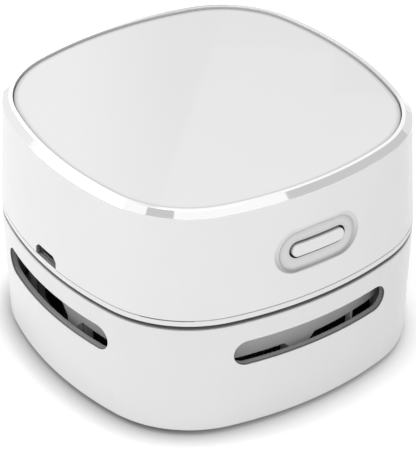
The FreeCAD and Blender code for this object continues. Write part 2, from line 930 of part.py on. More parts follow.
# Tops of the pilot holes in the cup's screw bosses
cup_pilot_top = z_cup_floor + cup_boss_height - screw_bite_gap
nozzle_pilot_top = z_cup_floor + nozzle_boss_height - screw_bite_gap


def window_tool(start_share, end_share, top, left_corner, right_corner):
    x0 = half_width * start_share
    x1 = half_width * end_share
    limit = (x1 - x0) * window_corner_limit_share
    left = min(left_corner, limit)
    right = min(right_corner, limit)
    z0 = z_cup_floor + window_sill
    y = -half_width
    points = [Vec(x0, y, z0), Vec(x1, y, z0), Vec(x1, y, top - right)]
    if right > 0:
        points.append(Vec(x1 - right, y, top))
    points.append(Vec(x0 + left, y, top))
    if left > 0:
        points.append(Vec(x0, y, top - left))
    return Part.Face(Part.makePolygon(points + points[:1])).extrude(Vec(0, half_width / 2, 0))


def rib(share, side):
    x = half_width * share
    outer = stack([(z_floor, cup_inset + cup_wall / 2), (rib_top, cup_inset + cup_wall / 2)])
    core = prism(cup_inset + cup_wall + rib_depth, z_floor, rib_top)
    start = x - rib_thickness if side > 0 else x
    block = box(start, start + rib_thickness, -half_width, 0, z_floor, rib_top)
    return block.common(outer).cut(core)


def dust_cup():
    collar_inset = wall + collar_gap
    cup_outer = prism(cup_inset, z_floor, z_deck - cup_flange_drop)
    z_flange = z_deck - cup_flange_drop - cup_flange_thickness
    flange = prism(lower_wall + fit_gap + lower_inset(z_flange), z_flange, z_deck - cup_flange_drop)
    upstand = ring(collar_inset, collar_inset + collar_width, z_flange + cup_flange_thickness / 2, z_deck)
    body = fuse([cup_outer, flange, upstand])
    body = body.cut(prism(cup_inset + cup_wall, z_cup_floor, z_deck))
    adds = [body]
    for quarter in (0, 2):
        for ribs, turn in ((front_rib_shares, 0), (side_rib_shares, -90)):
            for share, side in zip(ribs, (-1, 1)):
                adds.append(turned(rib(share, side), 90 * quarter + turn))
    collar = tube(intake_radius + fit_gap + intake_collar_wall, intake_radius + fit_gap, z_floor,
                  z_cup_floor + intake_collar_rise)
    adds.append(collar)
    for x, y in corners(cup_screw_place, cup_screw_place):
        adds.append(drum(boss_radius, z_floor, z_cup_floor + cup_boss_height, x, y))
    for x, y in corners(nozzle_screw_place, nozzle_screw_place):
        adds.append(drum(short_boss_radius, z_floor, z_cup_floor + nozzle_boss_height, x, y))
    body = fuse(adds)
    core = prism(cup_inset + cup_wall + fit_gap, z_floor, z_deck)
    cuts = [drum(intake_radius + fit_gap, z_floor, z_cup_floor)]
    for quarter in (0, 2):
        for windows, turn in ((front_windows, 0), (side_windows, -90)):
            for window in windows:
                cuts.append(turned(window_tool(*window).cut(core), 90 * quarter + turn))
    for x, y in corners(cup_screw_place, cup_screw_place):
        cuts.append(drum(screw_radius + screw_gap, z_floor, cup_pilot_top, x, y))
    for x, y in corners(nozzle_screw_place, nozzle_screw_place):
        cuts.append(drum(screw_radius + screw_gap, z_floor, nozzle_pilot_top, x, y))
    return body.cut(cuts)


def filter_screen():
    inset = cup_inset + cup_wall + rib_depth + screen_gap
    return ring(inset, inset + screen_thickness, z_cup_floor, rib_top)


# Nozzle plate, brush, feet and screws underneath

z_nozzle = z_shell + nozzle_recess
z_brush = z_nozzle + brush_base_recess
z_brush_top = z_brush + brush_base_thickness


def nozzle_plate():
    body = drum(nozzle_radius, z_nozzle, z_floor)
    rims = [e for e in body.Edges if len(e.Vertexes) == 1]
    body = body.makeChamfer(nozzle_chamfer, [e for e in rims if e.BoundBox.ZMax < z_floor - nozzle_chamfer])
    half = brush_base_half_width + fit_gap
    cuts = [drum(intake_radius, z_nozzle, z_floor), tube(brush_radius + half, brush_radius - half, z_nozzle,
                                                         z_brush_top)]
    for x, y in corners(nozzle_screw_place, nozzle_screw_place):
        cuts.append(drum(screw_head_radius + fit_gap, z_nozzle, z_nozzle + screw_head_height, x, y))
        cuts.append(drum(screw_radius + head_gap, z_nozzle, z_floor, x, y))
    return body.cut(cuts)


def brush_base():
    half = brush_base_half_width
    return tube(brush_radius + half, brush_radius - half, z_brush, z_brush_top)


def brush_bristles():
    tufts = []
    for k in range(tuft_count):
        angle = 2 * math.pi * k / tuft_count
        tufts.append(drum(tuft_radius, tuft_floor_gap, z_brush, brush_radius * math.cos(angle),
                          brush_radius * math.sin(angle)))
    return group(tufts)


def rubber_feet():
    feet = []
    for x, y in corners(foot_place, foot_place):
        foot = drum(foot_radius, 0, z_shell + foot_pocket, x, y)
        low_edge = [e for e in foot.Edges if len(e.Vertexes) == 1 and e.BoundBox.ZMax < z_shell / 2]
        feet.append(foot.makeFillet(parting_chamfer, low_edge))
    return group(feet)


def cup_screws():
    length = cup_pilot_top - screw_bite_gap - cup_screw_seat
    return group([
        screw(screw_head_radius, screw_head_height, screw_radius, length, Vec(x, y, cup_screw_seat), UP)
        for x, y in corners(cup_screw_place, cup_screw_place)
    ])


def nozzle_screws():
    seat = z_nozzle + screw_head_height
    length = nozzle_pilot_top - screw_bite_gap - seat
    return group([screw(screw_head_radius, screw_head_height, screw_radius, length, Vec(x, y, seat), UP)
                  for x, y in corners(nozzle_screw_place, nozzle_screw_place)])


def casing_screws():
    return group([screw(screw_head_radius, pan_head_height, screw_radius,
                        deck_thickness + casing_screw_length - screw_bite_gap, Vec(x, y, z_deck), UP)
                  for x, y in corners(casing_screw_x, casing_screw_y)])


export(upper_casing(), "upper_casing")
export(top_panel(), "top_panel")
export(prism(rim_inset + panel_gap + adhesive_margin, z_pocket, z_panel), "panel_adhesive")
export(motor_deck(), "motor_deck")
export(seal_ring(), "seal_ring")
export(casing_screws(), "casing_screws")

export(power_button(), "power_button")
export(switch_plunger(), "switch_plunger")
export(tact_switch(), "tact_switch")
export(switch_board(), "switch_board")
export(switch_board_screws(), "switch_board_screws")

export(main_board(), "main_board")
export(board_screws(), "board_screws")
export(usb_shell(), "usb_shell")
export(usb_tongue(), "usb_tongue")
export(charge_chip(), "charge_chip")
export(motor_transistor(), "motor_transistor")
export(board_passives(), "board_passives")

export(motor_can(), "motor_can")
export(motor_end_cap(), "motor_end_cap")
export(motor_terminals(), "motor_terminals")
export(motor_magnets(), "motor_magnets")
export(motor_armature(), "motor_armature")
export(motor_shaft(), "motor_shaft")
export(motor_screws(), "motor_screws")
export(impeller(), "impeller")

export(battery_cell(), "battery_cell")
export(battery_guard(), "battery_guard")
export(battery_tape(), "battery_tape")

export(lead("motor_lead_red", motor_lead(1)), "motor_lead_red")
export(lead("motor_lead_black", motor_lead(-1)), "motor_lead_black")
export(lead("battery_lead_red", battery_lead(0)), "battery_lead_red")
export(lead("battery_lead_black", battery_lead(1)), "battery_lead_black")
export(group([lead("switch_lead", switch_lead(place)) for place in (0, 1)]), "switch_leads")

export(lower_casing(), "lower_casing")
export(dust_cup(), "dust_cup")
export(filter_screen(), "filter_screen")
export(nozzle_plate(), "nozzle_plate")
export(brush_base(), "brush_base")
export(brush_bristles(), "brush_bristles")
export(rubber_feet(), "rubber_feet")
export(cup_screws(), "cup_screws")
export(nozzle_screws(), "nozzle_screws")
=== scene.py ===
import json
import math
import random

import bpy
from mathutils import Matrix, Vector


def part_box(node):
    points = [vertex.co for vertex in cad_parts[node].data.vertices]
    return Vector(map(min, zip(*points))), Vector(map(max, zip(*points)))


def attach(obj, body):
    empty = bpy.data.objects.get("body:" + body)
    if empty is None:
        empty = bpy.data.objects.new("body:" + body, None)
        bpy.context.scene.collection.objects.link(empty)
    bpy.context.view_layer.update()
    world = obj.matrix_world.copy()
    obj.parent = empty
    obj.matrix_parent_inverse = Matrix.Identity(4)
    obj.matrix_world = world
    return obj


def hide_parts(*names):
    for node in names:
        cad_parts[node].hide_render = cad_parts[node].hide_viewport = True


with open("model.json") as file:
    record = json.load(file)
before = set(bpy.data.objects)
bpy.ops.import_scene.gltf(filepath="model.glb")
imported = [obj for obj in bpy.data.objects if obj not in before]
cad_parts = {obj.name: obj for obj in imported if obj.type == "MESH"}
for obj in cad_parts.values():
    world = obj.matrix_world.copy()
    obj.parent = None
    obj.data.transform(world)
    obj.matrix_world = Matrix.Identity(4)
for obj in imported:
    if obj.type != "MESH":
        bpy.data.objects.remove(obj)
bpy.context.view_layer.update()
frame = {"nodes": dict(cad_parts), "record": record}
scene = bpy.context.scene
mm = 0.001


def onSphere(heading, elevation, reach):
    # heading 0 faces the button side and grows towards +X
    turn = math.radians(heading)
    rise = math.radians(elevation)
    flat = math.cos(rise)
    return Vector((math.sin(turn) * flat, -math.cos(turn) * flat, math.sin(rise))) * reach


# Camera

# stands where the object's corners, seam and rim fall as in the picture; distances in mm
studioCamera = {"heading": -34.664, "elevation": 34.015, "distance": 557.83, "sideStep": 0.405,
                "aimHeight": 24.28, "lens": 195.45, "sensor": 36.0}


def setCamera(look):
    turn = math.radians(look["heading"])
    aim = Vector((math.cos(turn), math.sin(turn), 0)) * look["sideStep"] * mm
    aim.z = look["aimHeight"] * mm
    outward = onSphere(look["heading"], look["elevation"], 1)
    cameraData = bpy.data.cameras.new("studioCamera")
    cameraData.lens = look["lens"]
    cameraData.sensor_width = look["sensor"]
    camera = bpy.data.objects.new("studioCamera", cameraData)
    camera.location = aim + outward * look["distance"] * mm
    camera.rotation_euler = (-outward).to_track_quat("-Z", "Y").to_euler()
    scene.collection.objects.link(camera)
    scene.camera = camera
    scene.view_settings.view_transform = "Standard"


setCamera(studioCamera)
print("camera set")


# Nodes and meshes

raySamples = {"floorShade": 16, "pieceShade": 12, "softEdge": 8}
noiseDetail = {"cloud": 3, "grain": 2}


def linear(hexCode):
    # sRGB hex to linear light
    parts = [int(hexCode[start:start + 2], 16) / 255 for start in (1, 3, 5)]
    return [part / 12.92 if part <= 0.04045 else ((part + 0.055) / 1.055) ** 2.4 for part in parts] + [1]


def addNode(tree, kind, settings, links):
    node = tree.nodes.new("ShaderNode" + kind)
    for key, value in settings.items():
        if isinstance(key, int) or key in node.inputs:
            node.inputs[key].default_value = value
        else:
            setattr(node, key, value)
    for socket, source in links.items():
        tree.links.new(source, node.inputs[socket])
    return node


def fillTree(owner, rows):
    # each row is a label, a node kind, its settings, and its links as "label.output"
    owner.use_nodes = True
    tree = owner.node_tree
    tree.nodes.clear()
    made = {}
    for label, kind, settings, links in rows:
        sources = {}
        for socket, source in links.items():
            maker, output = source.split(".")
            sources[socket] = made[maker].outputs[int(output) if output.isdigit() else output]
        made[label] = addNode(tree, kind, settings, sources)
    return owner


def newMaterial(name, rows):
    return fillTree(bpy.data.materials.new(name), rows)


def makeObject(name, corners, faces, material):
    mesh = bpy.data.meshes.new(name)
    mesh.from_pydata(corners, [], faces)
    mesh.materials.append(material)
    thing = bpy.data.objects.new(name, mesh)
    scene.collection.objects.link(thing)
    return thing


# Studio: floor, world, lamps, and the cards that the polished rim and the top plate mirror

# floorReach in metres, contactReach in mm; the contact values set a painted contact shadow on the floor, and
# contactLean tips it to the body's left
studio = {"floorReach": 3.0, "floorHex": "#F7F7F7", "floorLift": 0.3, "worldLight": 0.53,
          "contactReach": 8.0, "contactPower": 0.75, "contactLean": (0.6, 0.1, 1.0)}
lamps = [
    {"name": "skyLamp", "heading": 0, "elevation": 89, "watts": 1.33},
    {"name": "keyLamp", "heading": -130, "elevation": 36, "watts": 2.19},
    {"name": "frontLamp", "heading": -25, "elevation": 36, "watts": 2.22},
]
softLamp = {"reach": 900, "size": 600}  # mm
# each card is mirrored in one stretch of the rim; headings and elevations in degrees
cards = [
    {"name": "narrowCard", "headings": (-89.6, -55.6), "elevations": (54, 76), "glow": 0.6},
    {"name": "sideCard", "headings": (37.8, 92), "elevations": (16, 62), "glow": 0.6},
    {"name": "lowCard", "headings": (92, 178), "elevations": (4, 31.2), "glow": 0.78},
    {"name": "leftCard", "headings": (178, 208.5), "elevations": (1, 29), "glow": 0.89},
    {"name": "farCard", "headings": (135.6, 151.2), "elevations": (31.2, 32.5), "glow": 0.79},
    {"name": "tipCard", "headings": (134.8, 139.6), "elevations": (32.5, 34.15), "glow": 0.78},
]
cardShape = {"reach": 800, "steps": 12}  # distance in mm, and rows and columns in each card
# seen in the top plate: a slanted right edge from low to high, brighter towards its left; sizes in mm
backCard = {"name": "backCard", "behind": 450, "left": -200, "rightLow": 7.6, "rightHigh": -21.9,
            "low": 285.5, "high": 382.1, "below": 40, "above": 60,
            "edgeGlow": 0.68, "farGlow": 1.42, "edgeAt": -16, "farAt": -60}

paper = newMaterial("matt white paper", [
    # painted contact shadow: an occlusion test darkens the floor's colour under the edge of the body for
    # camera and mirror rays; a little of its own light keeps the rest pure white
    ("path", "LightPath", {}, {}),
    ("seen", "Math", {"operation": "MAXIMUM"}, {0: "path.Is Camera Ray", 1: "path.Is Glossy Ray"}),
    ("lean", "CombineXYZ", dict(zip("XYZ", studio["contactLean"])), {}),
    # painted shadow: the occlusion result scales the floor's colour and its own light
    ("contact", "AmbientOcclusion",
     {"samples": raySamples["floorShade"], "Distance": studio["contactReach"] * mm}, {"Normal": "lean.0"}),
    ("deep", "Math", {"operation": "POWER", 1: studio["contactPower"]}, {0: "contact.AO"}),
    ("shade", "Mix", {2: 1.0}, {"Factor": "seen.0", 3: "deep.0"}),
    ("tone", "VectorMath", {"operation": "SCALE", 0: linear(studio["floorHex"])[:3]}, {"Scale": "shade.0"}),
    ("matt", "BsdfDiffuse", {}, {"Color": "tone.0"}),
    ("lift", "Math", {"operation": "MULTIPLY", 1: studio["floorLift"]}, {0: "seen.0"}),
    ("lifted", "Math", {"operation": "MULTIPLY"}, {0: "lift.0", 1: "shade.0"}),
    ("glow", "Emission", {"Color": linear("#FFFFFF")}, {"Strength": "lifted.0"}),
    ("both", "AddShader", {}, {0: "matt.0", 1: "glow.0"}),
    ("end", "OutputMaterial", {}, {"Surface": "both.0"}),
])
reach = studio["floorReach"]
makeObject("studioFloor", [(-reach, -reach, 0), (reach, -reach, 0), (reach, reach, 0),
                                    (-reach, reach, 0)], [(0, 1, 2, 3)], paper)

scene.world = fillTree(bpy.data.worlds.new("studioWorld"), [
    ("path", "LightPath", {}, {}),
    ("mirrored", "Math", {"operation": "MAXIMUM"}, {0: "path.Is Glossy Ray", 1: "path.Is Transmission Ray"}),
    ("seen", "Math", {"operation": "MAXIMUM"}, {0: "mirrored.0", 1: "path.Is Camera Ray"}),
    ("soft", "Background", {"Color": linear("#FFFFFF"), "Strength": studio["worldLight"]}, {}),
    ("white", "Background", {"Color": linear("#FFFFFF"), "Strength": 1.0}, {}),
    ("mixed", "MixShader", {}, {0: "seen.0", 1: "soft.0", 2: "white.0"}),
    ("end", "OutputWorld", {}, {"Surface": "mixed.0"}),
])


def makeLamp(spec):
    lampData = bpy.data.lights.new(spec["name"], "AREA")
    lampData.shape = "DISK"
    lampData.size = softLamp["size"] * mm
    lampData.energy = spec["watts"]
    lamp = bpy.data.objects.new(spec["name"], lampData)
    outward = onSphere(spec["heading"], spec["elevation"], 1)
    lamp.location = outward * softLamp["reach"] * mm
    lamp.rotation_euler = outward.to_track_quat("Z", "Y").to_euler()
    scene.collection.objects.link(lamp)


def hangCard(card):
    # only mirror rays meet a card
    card.visible_camera = False
    card.visible_diffuse = False
    card.visible_shadow = False
    card.visible_transmission = False


def makeCard(spec):
    steps = cardShape["steps"]
    left, right = spec["headings"]
    low, high = spec["elevations"]
    corners = []
    for row in range(steps + 1):
        for column in range(steps + 1):
            across = left + (right - left) * column / steps
            rise = low + (high - low) * row / steps
            corners.append(onSphere(across, rise, cardShape["reach"] * mm))
    faces = []
    for row in range(steps):
        for column in range(steps):
            first = row * (steps + 1) + column
            faces.append((first, first + 1, first + steps + 2, first + steps + 1))
    # one even grey, so that a stretch of the rim has one tone with a sharp end
    felt = newMaterial("grey studio card", [
        ("glow", "Emission", {"Color": linear("#FFFFFF"), "Strength": spec["glow"]}, {}),
        ("end", "OutputMaterial", {}, {"Surface": "glow.0"}),
    ])
    hangCard(makeObject(spec["name"], corners, faces, felt))


def makeBackCard(spec):
    # an upright card behind the body; its slanted edge is the line that crosses the top plate
    turn = math.radians(studioCamera["heading"])
    across = Vector((math.cos(turn), math.sin(turn), 0))
    behind = Vector((-math.sin(turn), math.cos(turn), 0)) * spec["behind"] * mm
    slant = (spec["rightHigh"] - spec["rightLow"]) / (spec["high"] - spec["low"])
    bottom, top = spec["low"] - spec["below"], spec["high"] + spec["above"]
    corners = []
    for height in (bottom, top):
        right = spec["rightLow"] + (height - spec["low"]) * slant
        for along in (spec["left"], right):
            corners.append(behind + across * along * mm + Vector((0, 0, height * mm)))
    # darkest at the slanted edge, which leaves a faint line on the plate and no other
    felt = newMaterial("graded studio card", [
        ("place", "TexCoord", {}, {}),
        ("along", "VectorMath", {"operation": "DOT_PRODUCT", 1: across}, {0: "place.Object"}),
        ("grade", "MapRange", {"From Min": spec["farAt"] * mm, "From Max": spec["edgeAt"] * mm,
                               "To Min": spec["farGlow"], "To Max": spec["edgeGlow"]},
         {"Value": "along.Value"}),
        ("glow", "Emission", {"Color": linear("#FFFFFF")}, {"Strength": "grade.0"}),
        ("end", "OutputMaterial", {}, {"Surface": "glow.0"}),
    ])
    hangCard(makeObject(spec["name"], corners, [(0, 1, 3, 2)], felt))


for spec in lamps:
    makeLamp(spec)
for spec in cards:
    makeCard(spec)
makeBackCard(backCard)
print("studio set")


# Finishes. Sizes are in mm; "hex" and "deepHex" are the two tones that the soft cloud mixes.

def skinRows(look):
    # every finish starts here: a two-tone cloud, a roughness that follows it, and fine relief on soft edges
    return [
        ("place", "TexCoord", {}, {}),
        ("cloud", "TexNoise", {"Scale": 1 / (look["cloud"] * mm), "Detail": noiseDetail["cloud"]},
         {"Vector": "place.Object"}),
        ("tone", "Mix", {"data_type": "RGBA", 6: linear(look["deepHex"]), 7: linear(look["hex"])},
         {"Factor": "cloud.Fac"}),
        ("gloss", "MapRange", {"To Min": look["roughness"][0], "To Max": look["roughness"][1]},
         {"Value": "cloud.Fac"}),
        ("grain", "TexNoise", {"Scale": 1 / (look["grain"] * mm), "Detail": noiseDetail["grain"]},
         {"Vector": "place.Object"}),
        ("edge", "Bevel", {"samples": raySamples["softEdge"], "Radius": look["edge"] * mm}, {}),
        ("relief", "Bump", {"Strength": 1.0, "Distance": look["relief"] * mm},
         {"Height": "grain.Fac", "Normal": "edge.0"}),
    ]


def plainRows(look):
    # a metal has no ior in its look and keeps the default one
    return skinRows(look) + [
        ("skin", "BsdfPrincipled", {"IOR": look["ior"]} if look["ior"] else {"Metallic": 1.0},
         {"Base Color": "tone.2", "Roughness": "gloss.0", "Normal": "relief.0"}),
        ("end", "OutputMaterial", {}, {"Surface": "skin.0"}),
    ]


# the cut faces of the slots and openings are those within cutSpan of the height cutMiddle; cutShade darkens
# them as painted shade
plasticShell = {
    "name": "moulded gloss ABS", "hex": "#EAEAEA", "deepHex": "#E6E6E6", "cloud": 14,
    "roughness": (0.2, 0.26), "grain": 1.6, "relief": 0.0015, "edge": 0.15, "ior": 1.54,
    "gapReach": 1.5, "gapPower": 1.6, "recessReach": 5.0, "recessPower": 1.6,
    "cutFacing": 0.6, "cutShade": 0.42, "cutMiddle": 33.8, "cutSpan": 2.1,
    "polishFrom": 56.27, "polishBlend": 0.06, "polishHex": "#FAFAFA", "polishRoughness": 0.04,
    "lipShade": 0.78,
}
# the same skin one tone deeper as painted shade for the lower shell, then with painted shade on the cut faces
# of the deck's ring, then with lighter painted shade in the gaps
lowerShell = dict(plasticShell, name="moulded gloss ABS, lower shell", hex="#E6E6E6", deepHex="#E2E2E2",
                  cutMiddle=20.7, cutSpan=6.0)
innerShell = dict(plasticShell, name="moulded gloss ABS, deck", cutMiddle=32.0, cutSpan=1.2)
buttonCap = dict(plasticShell, name="moulded gloss ABS, button", gapReach=0.8, gapPower=1.0)
# the pill-shaped dish round the button is darkened with painted shade, floorShade over its floor and
# edgeShade at its edge; the edge shade starts at lowShare of the radius over the middle
buttonDish = {"halfLength": 5.7, "radius": 5.25, "middle": 43.3, "floorShade": 0.86, "edgeShade": 0.5,
              "edgeWidth": 1.5, "rise": 0.25, "lowShare": 0.5}


def dishRows(look):
    # distance to the pill-shaped rim of the button's dish, in mm, negative inside it
    return [
        ("dishX", "Math", {"operation": "ABSOLUTE"}, {0: "axes.X"}),
        ("dishEnd", "Math", {"operation": "SUBTRACT", 1: look["halfLength"] * mm}, {0: "dishX.0"}),
        ("dishPast", "Math", {"operation": "MAXIMUM", 1: 0.0}, {0: "dishEnd.0"}),
        ("dishRise", "Math", {"operation": "SUBTRACT", 1: look["middle"] * mm}, {0: "axes.Z"}),
        ("dishSpot", "CombineXYZ", {}, {"X": "dishPast.0", "Z": "dishRise.0"}),
        ("dishReach", "VectorMath", {"operation": "LENGTH"}, {0: "dishSpot.0"}),
        ("dishGap", "Math", {"operation": "SUBTRACT", 1: look["radius"] * mm}, {0: "dishReach.Value"}),
        ("dishFront", "Math", {"operation": "LESS_THAN", 1: 0.0}, {0: "axes.Y"}),
        # painted shade: floorShade darkens the dish's floor
        ("dishFloor", "MapRange", {"From Min": look["rise"] * mm, "From Max": -look["rise"] * mm,
                                   "To Min": 1.0, "To Max": look["floorShade"]}, {"Value": "dishGap.0"}),
        # painted shade along the lower edge, fading towards the button
        ("dishFade", "MapRange", {"From Min": -look["edgeWidth"] * mm, "From Max": 0.0,
                                  "interpolation_type": "SMOOTHSTEP"}, {"Value": "dishGap.0"}),
        ("dishRim", "MapRange", {"From Min": look["rise"] * mm, "From Max": 0.0}, {"Value": "dishGap.0"}),
        ("dishLow", "MapRange", {"From Min": look["lowShare"] * look["radius"] * mm,
                                 "From Max": -look["radius"] * mm, "interpolation_type": "SMOOTHSTEP"},
         {"Value": "dishRise.0"}),
        ("dishBand", "Math", {"operation": "MULTIPLY"}, {0: "dishFade.0", 1: "dishRim.0"}),
        ("dishDeep", "Math", {"operation": "MULTIPLY"}, {0: "dishBand.0", 1: "dishLow.0"}),
        ("dishEdge", "MapRange", {"To Min": 1.0, "To Max": look["edgeShade"]}, {"Value": "dishDeep.0"}),
        ("dishBoth", "Math", {"operation": "MULTIPLY"}, {0: "dishFloor.0", 1: "dishEdge.0"}),
        ("dishTone", "Mix", {2: 1.0}, {"Factor": "dishFront.0", 3: "dishBoth.0"}),
        ("hollow", "Math", {"operation": "MULTIPLY"}, {0: "tucked.0", 1: "dishTone.0"}),
    ]


def shellRows(look, dish=None):
    # clean white with a soft wide shine; painted shade darkens the gaps and cut faces, and the bevel is
    # buffed bright
    depth = "hollow.0" if dish else "tucked.0"
    return skinRows(look) + [
        ("axes", "SeparateXYZ", {}, {0: "place.Object"}),
        ("facing", "SeparateXYZ", {}, {0: "place.Normal"}),
        ("reachX", "Math", {"operation": "ABSOLUTE"}, {0: "axes.X"}),
        ("reachY", "Math", {"operation": "ABSOLUTE"}, {0: "axes.Y"}),
        ("faceX", "Math", {"operation": "ABSOLUTE"}, {0: "facing.X"}),
        ("faceY", "Math", {"operation": "ABSOLUTE"}, {0: "facing.Y"}),
        # a cut face doesn't face the way that its side of the body does
        ("sideways", "Math", {"operation": "GREATER_THAN"}, {0: "reachX.0", 1: "reachY.0"}),
        ("outward", "Mix", {}, {"Factor": "sideways.0", 2: "faceY.0", 3: "faceX.0"}),
        ("turned", "Math", {"operation": "LESS_THAN", 1: look["cutFacing"]}, {0: "outward.0"}),
        ("level", "Math", {"operation": "COMPARE", 1: look["cutMiddle"] * mm, 2: look["cutSpan"] * mm},
         {0: "axes.Z"}),
        ("cut", "Math", {"operation": "MULTIPLY"}, {0: "turned.0", 1: "level.0"}),
        # painted shade: cutShade scales down the colour of the cut faces
        ("cutTone", "MapRange", {"To Min": 1.0, "To Max": look["cutShade"]}, {"Value": "cut.0"}),
        # painted shade: occlusion tests darken the colour in narrow gaps and in the piece's own recesses
        ("near", "AmbientOcclusion",
         {"samples": raySamples["pieceShade"], "Distance": look["gapReach"] * mm}, {}),
        ("gap", "Math", {"operation": "POWER", 1: look["gapPower"]}, {0: "near.AO"}),
        ("own", "AmbientOcclusion",
         {"samples": raySamples["pieceShade"], "only_local": True, "Distance": look["recessReach"] * mm}, {}),
        ("recess", "Math", {"operation": "POWER", 1: look["recessPower"]}, {0: "own.AO"}),
        ("open", "Math", {"operation": "MULTIPLY"}, {0: "gap.0", 1: "recess.0"}),
        ("tucked", "Math", {"operation": "MULTIPLY"}, {0: "open.0", 1: "cutTone.0"}),
    ] + (dishRows(dish) if dish else []) + [
        # painted shade: lipShade darkens the rim's inner wall, which draws the line round the plate
        ("high", "MapRange", {"From Min": look["polishFrom"] * mm,
                              "From Max": (look["polishFrom"] + look["polishBlend"]) * mm},
         {"Value": "axes.Z"}),
        ("inward", "VectorMath", {"operation": "DOT_PRODUCT"}, {0: "place.Normal", 1: "place.Object"}),
        ("inner", "Math", {"operation": "LESS_THAN", 1: 0.0}, {0: "inward.Value"}),
        ("lip", "Math", {"operation": "MULTIPLY"}, {0: "inner.0", 1: "high.0"}),
        ("polish", "Math", {"operation": "SUBTRACT"}, {0: "high.0", 1: "lip.0"}),
        ("lipTone", "Mix", {3: look["lipShade"]}, {"Factor": "lip.0", 2: depth}),
        ("shaded", "VectorMath", {"operation": "SCALE"}, {0: "tone.2", "Scale": "lipTone.0"}),
        ("colour", "Mix", {"data_type": "RGBA", 7: linear(look["polishHex"])},
         {"Factor": "polish.0", 6: "shaded.0"}),
        ("shine", "Mix", {3: look["polishRoughness"]}, {"Factor": "polish.0", 2: "gloss.0"}),
        ("skin", "BsdfPrincipled", {"IOR": look["ior"]},
         {"Base Color": "colour.2", "Metallic": "polish.0", "Roughness": "shine.0", "Normal": "relief.0"}),
        ("end", "OutputMaterial", {}, {"Surface": "skin.0"}),
    ]


facePlate = {"name": "polished acrylic plate", "hex": "#E8E8E8", "deepHex": "#E6E6E6", "cloud": 30,
             "roughness": (0.01, 0.015), "grain": 4.0, "relief": 0.0004, "edge": 0.1, "ior": 1.49,
             "gapReach": 1.4, "gapFrom": 0.85, "gapShade": 0.62}


def plateRows(look):
    # clear hard shine that mirrors the room; painted shade darkens only its very edge, where it meets the rim
    return skinRows(look) + [
        # painted shade: an occlusion test darkens the plate's colour next to the rim
        ("near", "AmbientOcclusion",
         {"samples": raySamples["pieceShade"], "Distance": look["gapReach"] * mm}, {}),
        ("gap", "MapRange", {"From Min": look["gapFrom"], "To Min": look["gapShade"]}, {"Value": "near.AO"}),
        ("shaded", "VectorMath", {"operation": "SCALE"}, {0: "tone.2", "Scale": "gap.0"}),
        ("skin", "BsdfPrincipled", {"IOR": look["ior"]},
         {"Base Color": "shaded.0", "Roughness": "gloss.0", "Normal": "relief.0"}),
        ("end", "OutputMaterial", {}, {"Surface": "skin.0"}),
    ]


